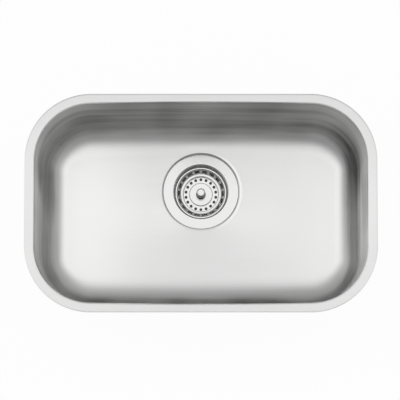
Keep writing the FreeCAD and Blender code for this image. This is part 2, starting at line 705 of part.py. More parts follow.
def waste_body():
    """The moulded body under the bowl: a flange with ribs, a cup, a funnel, the outlet, and a boss on
    ribs that takes the screw."""
    body = turned_part(
        "waste_body",
        [
            (SEAT_HOLE, WASTE_TOP),
            (WASTE_FOOT, FUNNEL_TOP, "waste_bend"),
            (OUTLET_BORE, FUNNEL_FOOT, "waste_wall"),
            (OUTLET_BORE, OUTLET_FOOT),
            ("outlet_across / 2", OUTLET_FOOT),
            ("outlet_across / 2", f"{FUNNEL_FOOT} - outlet_wall", "waste_wall"),
            (f"{WASTE_FOOT} + waste_wall", f"{FUNNEL_TOP} - waste_wall", "waste_bend + waste_wall"),
            (f"{SEAT_HOLE} + waste_wall", f"{WASTE_TOP} - waste_flange", "waste_corner"),
            (WASTE_EDGE, f"{WASTE_TOP} - waste_flange"),
            (WASTE_EDGE, WASTE_TOP),
        ],
    )
    gusset = new_sketch(body, "outer_rib", "XZ_Plane")
    root = f"{WASTE_FOOT} + waste_wall - rib_root"
    end = f"{WASTE_EDGE} - rib_inset"
    closed_profile(
        gusset,
        [
            (root, f"{WASTE_TOP} - waste_flange / 2"),
            (root, f"{WASTE_TOP} - waste_flange - outer_rib_tall"),
            (end, f"{WASTE_TOP} - waste_flange"),
            (end, f"{WASTE_TOP} - waste_flange / 2"),
        ],
    )
    around(body, pad(body, gusset, "rib_thick", both=True), "outer_ribs")

    spoke = new_sketch(body, "inner_rib", "XZ_Plane")
    reach = f"{OUTLET_BORE} + outlet_wall / 2"
    closed_profile(
        spoke,
        [
            ("0", BOSS_FOOT),
            (reach, BOSS_FOOT),
            (reach, f"{FUNNEL_FOOT} + inner_rib_rise"),
            (BOSS, BOSS_TOP),
            ("0", BOSS_TOP),
        ],
    )
    around(body, pad(body, spoke, "rib_thick", both=True), "inner_ribs")

    boss = new_sketch(body, "boss", "XY_Plane", offset=BOSS_FOOT)
    circle(boss, "0", "0", f"2 * {BOSS}")
    pad(body, boss, "boss_tall")
    bore = new_sketch(body, "boss_bore", "XY_Plane", offset=BOSS_TOP)
    circle(bore, "0", "0", f"2 * ({SCREW} + thread_play)")
    pocket(body, bore, "boss_tall")
    moulding = new_sketch(body, "insert_bore", "XY_Plane", offset=INSERT_TOP)
    circle(moulding, "0", "0", f"2 * {INSERT}")
    body.Tip = pocket(body, moulding, "insert_tall")
    ring("brass_insert", f"{SCREW}", INSERT, INSERT_FOOT, INSERT_TOP)


def centre_screw():
    """The screw that pulls the waste body up to the strainer. Its head has a coin slot, and a hole down
    its middle holds the basket's stem."""
    shank = f"{SCREW} - thread_play / 2"
    end = f"{HEAD_FOOT} - screw_long"
    body = turned_part(
        "centre_screw",
        [
            ("0", end),
            (f"{shank} - screw_point", end),
            (shank, f"{end} + screw_point"),
            (shank, HEAD_FOOT),
            (HEAD, HEAD_FOOT),
            (HEAD, HEAD_TOP, "head_round"),
            (SOCKET, HEAD_TOP),
            (SOCKET, SOCKET_FLOOR),
            ("0", SOCKET_FLOOR),
        ],
    )
    slot = new_sketch(body, "coin_slot", "XY_Plane", offset=HEAD_TOP)
    half_long, half_wide = f"{HEAD} + slot_wide", "slot_wide / 2"
    closed_profile(
        slot,
        [
            (half_long, f"-{half_wide}"),
            (half_long, half_wide),
            (f"-({half_long})", half_wide),
            (f"-({half_long})", f"-{half_wide}"),
        ],
    )
    body.Tip = pocket(body, slot, "slot_deep")
    ring("screw_washer", f"{SCREW} + thread_play", WASHER, DIMPLE_FLOOR, HEAD_FOOT)


# ---- basket ----

def sector(sketch, inner, outer, angle):
    """A piece of a ring centred on the sketch's X axis, between two radii, angle wide."""
    half = math.radians(value(angle)) / 2
    small, large = value(inner), value(outer)
    corners = [Vector(r * math.cos(a), r * math.sin(a), 0) for r in (small, large) for a in (-half, half)]
    middle = Vector(0, 0, 0)
    sketch.addGeometry(
        [
            arc(middle, small, -half, half),
            arc(middle, large, -half, half),
            Part.LineSegment(corners[0], corners[2]),
            Part.LineSegment(corners[1], corners[3]),
        ],
        False,
    )
    near, far, low, high = 0, 1, 2, 3
    for bend in (near, far):
        sketch.addConstraint(Sketcher.Constraint("Coincident", bend, 3, -1, 1))
    for bend, end in ((near, 1), (far, 2)):
        sketch.addConstraint(Sketcher.Constraint("Coincident", bend, 1, low, end))
        sketch.addConstraint(Sketcher.Constraint("Coincident", bend, 2, high, end))
    dimension(sketch, inner, "Radius", near)
    dimension(sketch, outer, "Radius", far)
    for side in (low, high):
        sketch.addConstraint(Sketcher.Constraint("PointOnObject", -1, 1, side))
    sketch.addConstraint(Sketcher.Constraint("Symmetric", far, 1, far, 2, -1))
    index = sketch.addConstraint(Sketcher.Constraint("Angle", low, 1, high, 1, 2 * half))
    bind(sketch, f"Constraints[{index}]", angle)


def basket_cup():
    """The basket: a pressed cup with a slotted wall, a shelf, a steep wall, a low ring and a raised
    middle, drawn as the space in it and shelled outwards."""
    body = new_body("basket_cup")
    hollow = new_sketch(body, "basket_hollow", "XZ_Plane")
    closed_profile(
        hollow,
        [
            ("0", RIM_TOP),
            ("0", PLATEAU_TOP),
            (PLATEAU_EDGE, PLATEAU_TOP, "basket_bend"),
            (VALLEY_INNER, VALLEY_TOP, "basket_bend"),
            (VALLEY, VALLEY_TOP, "basket_bend"),
            (STEEP, STEEP_TOP, "basket_bend"),
            (SHELF, SHELF_TOP, "basket_bend"),
            (MOUTH, RIM_TOP),
        ],
    )
    solid = turned(body, hollow)
    doc.recompute()
    top = [
        f"Face{i}"
        for i, face in enumerate(solid.Shape.Faces, start=1)
        if is_level(face, value(RIM_TOP))
    ]
    shell = body.newObject("PartDesign::Thickness", "basket_shell")
    shell.Base = (solid, top)
    shell.Reversed = False
    bind(shell, "Value", "basket_sheet")
    body.Tip = shell
    rim = new_sketch(body, "basket_rim", "XZ_Plane")
    within = f"{MOUTH} + basket_sheet / 2"
    closed_profile(
        rim,
        [
            (within, f"{RIM_TOP} - basket_sheet"),
            ("basket_across / 2", f"{RIM_TOP} - basket_sheet"),
            ("basket_across / 2", RIM_TOP, "rim_round"),
            (within, RIM_TOP),
        ],
    )
    edge = turned(body, rim)
    body.Tip = edge
    mouth = value(MOUTH)

    def at_mouth(item):
        return is_level(item, value(RIM_TOP)) and abs(item.BoundBox.XMax - mouth) < 0.05

    round_edges(body, edge, "basket_mouth_bend", "basket_sheet", at_mouth)

    slot = new_sketch(body, "slot", "XY_Plane", offset=RIM_TOP)
    sector(slot, f"{SHELF} + slot_foot", f"{MOUTH} - slot_inset", "slot_angle")
    around(body, pocket(body, slot, "slot_wall_drop + shelf_drop"), "slots")
    low_hole = new_sketch(body, "valley_hole", "XY_Plane", offset=VALLEY_TOP, turn="180 / slots")
    circle(low_hole, f"({VALLEY} + {VALLEY_INNER}) / 2", "0", "valley_hole")
    around(body, pocket(body, low_hole, "2 * basket_sheet"), "slots")
    side = new_sketch(body, "side_hole", "YZ_Plane", offset=f"({VALLEY} + {VALLEY_INNER}) / 2")
    circle(side, "0", f"{STEEP_TOP} - side_hole_drop", "side_hole")
    around(body, pocket(body, side, "slot_wall_run + shelf_run", up=True), "slots")
    centre = new_sketch(body, "hub_hole", "XY_Plane", offset=PLATEAU_TOP)
    circle(centre, "0", "0", f"2 * {HUB}")
    body.Tip = pocket(body, centre, "2 * basket_sheet")
    at_drain(body)
    nodes["basket_cup"] = body


def knob_and_hub():
    """The knob on the basket's middle and the hub pressed into it from below, which holds the stem's
    head and carries the seal."""
    grip = f"{KNOB_WAIST} + knob_grip"
    turned_part(
        "basket_knob",
        [
            (HUB, PLATEAU_TOP),
            (KNOB_FOOT, PLATEAU_TOP),
            (KNOB_FOOT, f"{PLATEAU_TOP} + knob_foot_tall", "knob_foot_tall / 2"),
            (KNOB_WAIST, f"{PLATEAU_TOP} + knob_foot_tall + knob_flare", "knob_flare"),
            (KNOB_WAIST, f"{KNOB_TOP} - knob_grip_tall - knob_grip", "knob_flare"),
            (grip, f"{KNOB_TOP} - knob_grip_tall", "knob_grip"),
            (grip, KNOB_TOP, "knob_round"),
            ("0", KNOB_TOP),
            ("0", BORE_TOP),
            (HUB, BORE_TOP),
        ],
    )
    under = f"{PLATEAU_TOP} - basket_sheet"
    turned_part(
        "basket_hub",
        [
            (HUB_BORE, RETAINER_FOOT),
            (HUB, RETAINER_FOOT),
            (HUB, PLATE_TOP),
            ("collar_across / 2", PLATE_TOP),
            ("collar_across / 2", under),
            (HUB, under),
            (HUB, HUB_TOP),
            (HUB_BORE, HUB_TOP),
        ],
    )


def basket_seal():
    """The rubber seal with its lip, the plate over it and the washer under it."""
    ring("seal_plate", HUB, f"{SEAL} - plate_inset", SEAL_TOP, PLATE_TOP)
    turned_part(
        "basket_seal",
        [
            (HUB, WEB_FOOT),
            (f"{SEAL} - seal_lip - seal_lip_tall", WEB_FOOT),
            (f"{SEAL} - seal_lip", LIP_FOOT, "seal_lip_tall / 2"),
            (SEAL, LIP_FOOT, "seal_lip_tall / 2"),
            (SEAL, f"{SEAL_TOP} - seal_bevel"),
            (f"{SEAL} - plate_inset", SEAL_TOP),
            (HUB, SEAL_TOP),
        ],
    )
    ring("seal_washer", HUB, "retainer_across / 2", RETAINER_FOOT, WEB_FOOT)


def basket_stem():
    """The stem: its head sits in the knob, its end in the screw. A clip and a rubber ring lie in
    grooves round it."""
    groove = f"{STEM} - clip_bite"
    ring_level = f"({HEAD_TOP} - ring_drop)"
    ring_core = f"({SOCKET} - ring_play - ring_thick / 2)"
    ring_seat = f"({ring_core} - ring_thick / 2)"
    end = f"{SOCKET_FLOOR} + stem_end_gap"
    turned_part(
        "basket_stem",
        [
            ("0", end),
            (f"{STEM} - stem_end_gap", end),
            (STEM, f"{end} + stem_end_gap"),
            (STEM, f"{ring_level} - ring_thick / 2"),
            (ring_seat, f"{ring_level} - ring_thick / 2"),
            (ring_seat, f"{ring_level} + ring_thick / 2"),
            (STEM, f"{ring_level} + ring_thick / 2"),
            (STEM, CLIP_FOOT),
            (groove, CLIP_FOOT),
            (groove, CLIP_TOP),
            (STEM, CLIP_TOP),
            (STEM, STEM_HEAD_FOOT),
            (STEM_HEAD, STEM_HEAD_FOOT),
            (STEM_HEAD, STEM_TOP),
            ("0", STEM_TOP),
        ],
    )
    clip = ring("stem_clip", groove, "clip_across / 2", CLIP_FOOT, CLIP_TOP)
    mouth = new_sketch(clip, "clip_mouth", "XY_Plane", offset=CLIP_TOP)
    half = "clip_mouth / 2"
    closed_profile(
        mouth,
        [
            ("0", f"-({half})"),
            ("clip_across", f"-({half})"),
            ("clip_across", half),
            ("0", half),
        ],
    )
    clip.Tip = pocket(clip, mouth, "clip_thick")

    rubber = doc.addObject("Part::Torus", "stem_ring")
    rubber.Label = "stem_ring"
    bind(rubber, "Radius1", ring_core)
    bind(rubber, "Radius2", "ring_thick / 2")
    bind(rubber, ".Placement.Base.y", DRAIN_BACK)
    bind(rubber, ".Placement.Base.z", f"{ring_level} - bowl_deep - seat_deep")
    nodes["stem_ring"] = rubber


# ---- build ----

def check_document():
    """Stops if a feature failed, or a node has no sound shape."""
    for item in doc.Objects:
        if "Invalid" in item.State or "Error" in item.State:
            raise RuntimeError(f"{item.Name}: {item.State}")
    for label, item in nodes.items():
        if item.Shape.isNull() or not item.Shape.isValid() or not item.Shape.Solids:
            raise RuntimeError(f"{label} has no sound shape")


inside_form = bowl_form("bowl_inside", "0")
outside_form = bowl_form("bowl_outside", "sheet")
bowl()
sound_pads()
strainer_dish()
seals()
waste_body()
centre_screw()
basket_cup()
knob_and_hub()
basket_seal()
basket_stem()
doc.recompute()
check_document()

os.makedirs("parts", exist_ok=True)
for label, item in nodes.items():
    item.Shape.exportStep(f"parts/{label}.step")
    print(f"{label}: {len(item.Shape.Solids)} solid, {item.Shape.Volume:.1f} mm3")
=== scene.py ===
# %% [markdown]
# # An undermount kitchen sink
# The real object is one sheet of steel, pressed into a bowl that hangs under a worktop by its flange, with
# a basket strainer clamped through its floor. Its CAD solids are already right in size and place. This
# lesson loads them as a fixed frame, makes finer meshes for the steel that shows, and gives every piece
# its finish.

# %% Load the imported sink
import math

import bmesh
import bpy
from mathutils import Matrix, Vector


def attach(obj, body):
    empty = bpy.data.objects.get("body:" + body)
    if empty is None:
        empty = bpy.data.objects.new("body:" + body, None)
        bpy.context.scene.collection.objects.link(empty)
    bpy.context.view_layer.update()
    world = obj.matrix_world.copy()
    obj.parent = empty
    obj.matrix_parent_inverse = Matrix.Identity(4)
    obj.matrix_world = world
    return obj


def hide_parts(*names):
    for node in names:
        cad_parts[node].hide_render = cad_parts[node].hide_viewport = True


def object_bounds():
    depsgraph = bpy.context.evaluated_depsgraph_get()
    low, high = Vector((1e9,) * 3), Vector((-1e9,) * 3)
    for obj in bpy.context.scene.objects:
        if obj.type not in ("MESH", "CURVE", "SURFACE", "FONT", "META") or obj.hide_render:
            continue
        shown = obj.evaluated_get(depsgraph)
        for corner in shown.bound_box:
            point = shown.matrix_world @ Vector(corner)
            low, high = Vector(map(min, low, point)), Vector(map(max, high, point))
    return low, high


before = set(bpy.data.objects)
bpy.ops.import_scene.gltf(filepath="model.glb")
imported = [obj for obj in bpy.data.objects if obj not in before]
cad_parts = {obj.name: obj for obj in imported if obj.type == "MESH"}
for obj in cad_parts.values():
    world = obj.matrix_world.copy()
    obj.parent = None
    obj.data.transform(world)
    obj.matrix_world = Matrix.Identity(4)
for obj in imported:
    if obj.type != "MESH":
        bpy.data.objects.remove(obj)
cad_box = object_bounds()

MM = 0.001
print("CAD box, mm:", [[round(x / MM, 1) for x in corner] for corner in cad_box])

# %% [markdown]
# ## The camera
# The photograph was taken from well above and a little in front, with a long lens, so the walls hardly
# converge. A camera five metres away with a 300 mm lens sees the same. It looks at a point just beside the
# middle of the opening, which puts the sink where it stands in the picture.

# %% Camera
bpy.context.scene.view_settings.view_transform = "Standard"
CAMERA_FAR = 5.0
CAMERA_TILT = math.radians(7.2)
LENS_MM = 300
FILM_MM = 36
AIM = Vector((-1.4, 4.0, 0)) * MM

lens = bpy.data.cameras.new("camera")
lens.lens = LENS_MM
lens.sensor_width = FILM_MM
lens.clip_end = 10 * CAMERA_FAR
camera = bpy.data.objects.new("camera", lens)
bpy.context.scene.collection.objects.link(camera)
camera.location = AIM + Vector((0, -math.sin(CAMERA_TILT), math.cos(CAMERA_TILT))) * CAMERA_FAR
camera.rotation_euler = (CAMERA_TILT, 0, 0)
bpy.context.scene.camera = camera
print("camera at", [round(x, 3) for x in camera.location])

# %% [markdown]
# ## Shader sums
# A finish is easier to read when its maths looks like maths. `Wire` stands for one socket's value, and
# adding or multiplying wires adds the Math node that does it. `Finish` is a material with one method for
# every other kind of node: its type, its settings, then what goes into its sockets.

# %% Wires and finishes
def grey(level):
    return (level, level, level, 1)


class Wire:
    """A socket's value, so that shader maths reads as ordinary sums."""

    def __init__(self, finish, socket):
        self.finish = finish
        self.socket = socket

    def maths(self, operation, first, second):
        return self.finish.node("Math", {"operation": operation}, {0: first, 1: second})

    def __add__(self, other):
        return self.maths("ADD", self, other)

    def __mul__(self, other):
        return self.maths("MULTIPLY", self, other)

    def __sub__(self, other):
        return self.maths("SUBTRACT", self, other)

    def __rsub__(self, other):
        return self.maths("SUBTRACT", other, self)

    __radd__ = __add__
    __rmul__ = __mul__


class Finish:
    """A material, or the world, with one method that adds any node to it."""

    def __init__(self, owner):
        self.owner = owner
        owner.use_nodes = True
        self.tree = owner.node_tree
        self.tree.nodes.clear()

    def node(self, kind, settings=None, sockets=None, out=0):
        made = self.tree.nodes.new("ShaderNode" + kind)
        for field, setting in (settings or {}).items():
            if field == "stops":
                ramp = made.color_ramp
                ramp.interpolation = "EASE"
                while len(ramp.elements) < len(setting):
                    ramp.elements.new(0.5)
                for element, (place, level) in zip(ramp.elements, setting):
                    element.position = place
                    element.color = grey(level)
            else:
                setattr(made, field, setting)
        for socket, amount in (sockets or {}).items():
            if isinstance(amount, Wire):
                self.tree.links.new(amount.socket, made.inputs[socket])
            else:
                made.inputs[socket].default_value = amount
        return Wire(self, made.outputs[out])

    def close(self, surface, kind="OutputMaterial"):
        out = self.tree.nodes.new("ShaderNode" + kind)
        self.tree.links.new(surface.socket, out.inputs["Surface"])
        return self.owner


def axis_of(finish, vector, axis):
    return finish.node("SeparateXYZ", sockets={0: vector}, out=axis)


def fade(finish, amount, nil, full, smooth=False):
    """A value that goes from 0, where the amount is at nil, to 1, where it is at full."""
    settings = {"interpolation_type": "SMOOTHSTEP"} if smooth else {}
    return finish.node("MapRange", settings, {"Value": amount, "From Min": nil, "From Max": full})


# %% [markdown]
# ## The light
# The picture has one wide soft light overhead. Here the world holds it: a soft box straight above, longer
# along the sink than across it, and a sky that is low overhead and brighter towards the horizon, as a
# white room is. The box makes the bowl's floor pale, and what its walls can see of the rest leaves them a
# middle grey. A faint dark card stands in the sky towards the front and keeps the back wall as deep as it
# is in the picture.

# %% Studio
SKY = [(0.0, 1.8), (0.2, 1.55), (0.45, 0.56), (0.8, 0.52), (1.0, 0.6)]
SKY_BACK = 0.10
CARD_MIDDLE = -0.40
CARD_REACH = (0.60, 0.30)
CARD_EDGE = (1.3, 0.5)
CARD_SHADE = 0.2
BOX_LIGHT = 1.10
BOX_MIDDLE = (-0.08, 0.04)
BOX_REACH = (0.62, 0.29)
BOX_EDGE = (1.9, 0.25)

world = bpy.data.worlds.new("studio")
bpy.context.scene.world = world
studio = Finish(world)
direction = studio.node("TexCoord", out="Generated")
east, north, height = (axis_of(studio, direction, axis) for axis in "XYZ")
sky = studio.node("ValToRGB", {"stops": SKY}, {"Fac": height})
across, along = (
    (way - middle) * (1 / reach) for way, middle, reach in zip((east, north), BOX_MIDDLE, BOX_REACH)
)
box = fade(studio, across * across + along * along, *BOX_EDGE, smooth=True) * BOX_LIGHT
front, aside = (north - CARD_MIDDLE) * (1 / CARD_REACH[1]), east * (1 / CARD_REACH[0])
card = fade(studio, front * front + aside * aside, *CARD_EDGE, smooth=True) * CARD_SHADE
level = (sky * (1 + north * SKY_BACK) + box) * (1 - card)
studio.close(studio.node("Background", sockets={"Color": level, "Strength": 1.0}), "OutputWorld")
print("nodes in the studio:", len(studio.tree.nodes))

# %% [markdown]
# ## The ground
# The picture's ground is plain white. A large plane just below the sink stands for it. Camera and glossy
# rays see it as nearly white, and a little of its own shading keeps the sink's shadow.

# %% Ground
GROUND_WHITE = 0.95
GROUND_TONE = 0.9
GROUND_HALF = 12.0
GROUND_LEVEL = cad_box[0].z - 0.5 * MM
ground_mesh = bpy.data.meshes.new("ground")
corners = [(-1, -1), (1, -1), (1, 1), (-1, 1)]
ground_mesh.from_pydata(
    [(x * GROUND_HALF, y * GROUND_HALF, GROUND_LEVEL) for x, y in corners], [], [(0, 1, 2, 3)]
)
ground = bpy.data.objects.new("ground", ground_mesh)
bpy.context.scene.collection.objects.link(ground)
paper = Finish(bpy.data.materials.new("white_ground"))
matt = paper.node("BsdfDiffuse", sockets={"Color": grey(GROUND_TONE)})
glow = paper.node("Emission", sockets={"Color": grey(1.0), "Strength": 1.0})
ray_kinds = "Is Camera Ray", "Is Glossy Ray", "Is Transmission Ray"
rays = [paper.node("LightPath", out=kind) for kind in ray_kinds]
seen = (rays[0] + rays[1] + rays[2]) * GROUND_WHITE
ground_mesh.materials.append(paper.close(paper.node("MixShader", sockets={0: seen, 1: matt, 2: glow})))
print("ground at", round(GROUND_LEVEL / MM, 1), "mm")

# %% [markdown]
# ## Drawing in section
# Pressed and turned pieces are easiest to give by their section: a few corners, each with the radius that
# rounds it. `rounded_line` turns such corners into a fine line of points.

# %% Section lines
ARC_STEP = math.radians(9)


def rounded_line(corners, closed=False):
    """Points along (across, up, round) corners, with an arc at each corner whose round isn't nil."""
    count = len(corners)
    line = []
    for i, corner in enumerate(corners):
        here = Vector(corner[:2])
        size = corner[2] if len(corner) == 3 else 0
        if not size or (not closed and i in (0, count - 1)):
            line.append(here)
            continue
        before = (Vector(corners[i - 1][:2]) - here).normalized()
        after = (Vector(corners[(i + 1) % count][:2]) - here).normalized()
        half = before.angle(after) / 2
        centre = here + (before + after).normalized() * (size / math.sin(half))
        start = here + before * (size / math.tan(half)) - centre
        finish = here + after * (size / math.tan(half)) - centre
        turn = math.atan2(start.x * finish.y - start.y * finish.x, start.dot(finish))
        steps = max(2, math.ceil(abs(turn) / ARC_STEP))
        for k in range(steps + 1):
            a = turn * k / steps
            cos, sin = math.cos(a), math.sin(a)
            line.append(centre + Vector((start.x * cos - start.y * sin, start.x * sin + start.y * cos)))
    return line


class Run:
    """A section line that can be asked for the point at any length along it."""

    def __init__(self, points):
        self.points = points
        self.marks = [0.0]
        for a, b in zip(points, points[1:]):
            self.marks.append(self.marks[-1] + (b - a).length)

    def at(self, length):
        last = len(self.points) - 2
        i = 0
        while i < last and self.marks[i + 1] < length:
            i += 1
        part = (length - self.marks[i]) / (self.marks[i + 1] - self.marks[i])
        return self.points[i].lerp(self.points[i + 1], part)

    def length_at(self, across):
        """The length along the line where it first comes in to the radius across."""
        for i, (a, b) in enumerate(zip(self.points, self.points[1:])):
            if a.x >= across > b.x:
                return self.marks[i] + (a.x - across) / (a.x - b.x) * (self.marks[i + 1] - self.marks[i])
        raise ValueError(across)


# %% [markdown]
# ## Putting a mesh in the scene
# Every finished piece has its object at the origin and its place in its vertices, as the CAD nodes have.
# `settle` turns what the modifiers give into a plain mesh, so nothing is left live.

# %% Pieces
DRAIN = Vector((0, 40, -183))
WELD_WITHIN = 0.001
SHARP = math.radians(50)


def add_piece(name, points, faces):
    mesh = bpy.data.meshes.new(name)
    mesh.from_pydata([Vector(p) * MM for p in points], [], faces)
    mesh.validate()
    piece = bpy.data.objects.new(name, mesh)
    bpy.context.scene.collection.objects.link(piece)
    return piece


def settle(piece, finish):
    """Applies the piece's modifiers, smooths its faces and gives it its finish."""
    graph = bpy.context.evaluated_depsgraph_get()
    made = bpy.data.meshes.new_from_object(piece.evaluated_get(graph))
    piece.modifiers.clear()
    made.name = piece.name
    piece.data = made
    made.materials.clear()
    made.materials.append(finish)
    made.polygons.foreach_set("use_smooth", [True] * len(made.polygons))
    print(f"{piece.name}: {len(made.polygons)} faces")
    return piece


def weld(piece):
    """Joins vertices that lie on each other, and points the faces of a closed piece outwards."""
    form = bmesh.new()
    form.from_mesh(piece.data)
    bmesh.ops.remove_doubles(form, verts=form.verts, dist=WELD_WITHIN * MM)
    bmesh.ops.recalc_face_normals(form, faces=form.faces)
    form.to_mesh(piece.data)
    form.free()
    return piece


def thicken(piece, sheet, edge):
    """Gives a surface the sheet's thickness below it, with its cut edges broken."""
    solid = piece.modifiers.new("sheet", "SOLIDIFY")
    solid.thickness = sheet * MM
    solid.offset = -1
    solid.use_quality_normals = True
    corner = piece.modifiers.new("broken_edges", "BEVEL")
    corner.width = edge * MM
    corner.segments = 2
    corner.limit_method = "ANGLE"
    corner.angle_limit = SHARP
    return piece


# %% [markdown]
# ## The pressed bowl
# On the real sink one press draws the whole bowl, so its shape follows a rule: the same section goes round
# a rounded outline, from the flange over a tight bend, down a wall that leans a little, and through a
# large round into a floor that falls to the drain. The mesh does the same: each point of the opening's
# outline gets the section that its own place needs, then rows of points close in from the floor's edge to
# the recess.

# %% Outline of the opening
OPENING_HALF = (250, 152)
OPENING_ROUND = 85
SIDE_BOW = 7600
FLANGE_HALF = (265, 165)
FLANGE_ROUND = 100
CORNER_STEPS = 40
SIDE_STEPS = 54
END_STEPS = 26
REACH_ROUNDS = 30


def opening_outline():
    """(point, outward direction) round the opening, whose long sides bow a little."""
    drop = OPENING_HALF[1] - SIDE_BOW
    reach = OPENING_HALF[0] - OPENING_ROUND
    rise = drop + math.sqrt((SIDE_BOW - OPENING_ROUND) ** 2 - reach**2)
    lean = math.atan2(rise - drop, reach)
    quarter = []
    for k in range(END_STEPS // 2):
        quarter.append((Vector((OPENING_HALF[0], rise * 2 * k / END_STEPS)), Vector((1, 0))))
    for k in range(CORNER_STEPS):
        a = lean * k / CORNER_STEPS
        out = Vector((math.cos(a), math.sin(a)))
        quarter.append((Vector((reach, rise)) + out * OPENING_ROUND, out))
    for k in range(SIDE_STEPS // 2):
        a = lean + (math.pi / 2 - lean) * 2 * k / SIDE_STEPS
        out = Vector((math.cos(a), math.sin(a)))
        quarter.append((Vector((0, drop)) + out * SIDE_BOW, out))
    top = (Vector((0, OPENING_HALF[1])), Vector((0, 1)))

    def mirrored(item, x, y):
        return tuple(Vector((v.x * x, v.y * y)) for v in item)

    right = quarter[0]
    half = quarter + [top] + [mirrored(item, -1, 1) for item in reversed(quarter[1:])]
    left = mirrored(right, -1, 1)
    return half + [left] + [mirrored(item, 1, -1) for item in reversed(half[1:])]


def flange_reach(point, out):
    """How far the flange's edge is from a point of the opening, along its outward direction."""
    core = Vector(FLANGE_HALF) - Vector((FLANGE_ROUND, FLANGE_ROUND))
    reach = 0.0
    for _ in range(REACH_ROUNDS):
        p = point + out * reach
        past = Vector((abs(p.x) - core.x, abs(p.y) - core.y))
        outside = Vector((max(past.x, 0), max(past.y, 0))).length
        reach -= outside + min(max(past.x, past.y), 0) - FLANGE_ROUND
    return reach


outline = opening_outline()
print("points round the opening:", len(outline))

# %% [markdown]
# ## One section of the bowl
# On the real bowl the sheet turns over a tight bend, runs down the wall and turns into the floor through a
# round that leads in more softly on the long sides. The round is drawn as a conic, which is an arc where its
# two ends are equally far from its corner, and a softer curve where one end is pulled further out.

# %% Section of the bowl
BOWL_DEEP = 180
DRAFT = math.radians(3.5)
FALL = math.tan(math.radians(0.8))
FLOOR_ROUND = 35
RIM_ROUND = 2.2
LEAD_IN = 15
LEAST_LEAD_IN = 0.01
FLOOR_EDGE = 63.6
FLOOR_EDGE_PLAY = 1
RECESS_FOOT = 58.5
FLANGE_ROWS = 5
BEND_ROWS = 7
WALL_ROWS = 20
ROUND_ROWS = 20
DRAIN_PLAN = DRAIN.xy


def floor_level(x, y):
    return -BOWL_DEEP + FALL * max(Vector((x, y - DRAIN.y)).length - RECESS_FOOT, 0)


def lead_in_at(foot, out):
    """How much further than its arc the round runs on to the floor, up to the room before the drain."""
    longest = LEAD_IN * out.y * out.y
    if longest <= LEAST_LEAD_IN:
        return 0
    room = max((foot - DRAIN_PLAN).length - FLOOR_EDGE - FLOOR_EDGE_PLAY, 0)
    return longest * (1 - math.exp(-room / longest))


def wall_section(point, out):
    """(inward, level) from the flange's edge to the floor, at one point of the opening."""
    wall = Vector((math.cos(DRAFT), math.sin(DRAFT)))
    near = point - out * FLOOR_ROUND
    towards = (near - DRAIN_PLAN).normalized()
    slope = FALL * towards.dot(out)
    edge_level = floor_level(near.x, near.y) + slope * FLOOR_ROUND
    up = Vector((slope, 1)).normalized()
    # The round is a conic between the wall and the floor, slower towards the floor on the long sides.
    up_wall, in_floor = Vector((-wall.y, wall.x)), Vector((up.y, -up.x))
    half = up_wall.angle(in_floor) / 2
    spread = wall.x * up.y - wall.y * up.x
    corner = Vector((-edge_level * up.y * wall.y / spread, edge_level * up.y * wall.x / spread))
    on_wall = up_wall * (FLOOR_ROUND / math.tan(half))
    foot = point - out * (corner.x + on_wall.length)
    on_floor = in_floor * (on_wall.length + lead_in_at(foot, out))
    nearest = FLOOR_ROUND * (1 / math.sin(half) - 1)
    pull = (on_wall + on_floor).length / (2 * nearest) - 1
    rim = Vector(((RIM_ROUND * wall.y - RIM_ROUND) / wall.x, -RIM_ROUND))

    section = []
    reach = flange_reach(point, out)
    for k in range(FLANGE_ROWS):
        section.append(Vector((-reach + (reach + rim.x) * k / FLANGE_ROWS, 0)))
    for k in range(BEND_ROWS + 1):
        a = math.pi / 2 + (DRAFT - math.pi / 2) * k / BEND_ROWS
        section.append(rim + Vector((math.cos(a), math.sin(a))) * RIM_ROUND)
    low = corner + on_wall
    high = section[-1]
    for k in range(1, WALL_ROWS):
        section.append(high.lerp(low, k / WALL_ROWS))
    for k in range(ROUND_ROWS + 1):
        part = k / ROUND_ROWS
        weights = (1 - part) ** 2, 2 * pull * part * (1 - part), part**2
        section.append(corner + (on_wall * weights[0] + on_floor * weights[2]) / sum(weights))
    return section


# %% [markdown]
# ## The recess for the strainer
# The press sinks a seat into the floor for the strainer's flange. Its edge is a bend, a short slope and a
# step, and the slope is steeper behind the drain, where the floor has fallen less. Rows of points close in
# from the foot of the round to this edge, which is a turned line like any other.

# %% Recess and rows
RECESS_EDGE = 60.9
RECESS_SHOULDER = 58.7
SHOULDER_DROP = 0.85
SHOULDER_LOWER = 0.6
SEAT_HOLE = 45
EDGE_BEND = 0.8
FOOT_BEND = 0.5
FLOOR_ROWS = 30
RECESS = rounded_line(
    [
        (FLOOR_EDGE, -BOWL_DEEP + FALL * (FLOOR_EDGE - RECESS_FOOT)),
        (RECESS_EDGE, -BOWL_DEEP, EDGE_BEND),
        (RECESS_SHOULDER, -BOWL_DEEP - SHOULDER_DROP, FOOT_BEND),
        (RECESS_FOOT, DRAIN.z, FOOT_BEND),
        (SEAT_HOLE, DRAIN.z),
    ]
)


def shoulder_level(place, back):
    """The level of a point of the recess, whose shoulder lies lower at the back than at the front."""
    shoulder = -BOWL_DEEP - SHOULDER_DROP
    inwards = (RECESS_EDGE - place.x) / (RECESS_EDGE - RECESS_SHOULDER)
    upwards = (place.y - DRAIN.z) / (shoulder - DRAIN.z)
    return place.y - SHOULDER_LOWER * back * max(min(inwards, upwards, 1), 0)


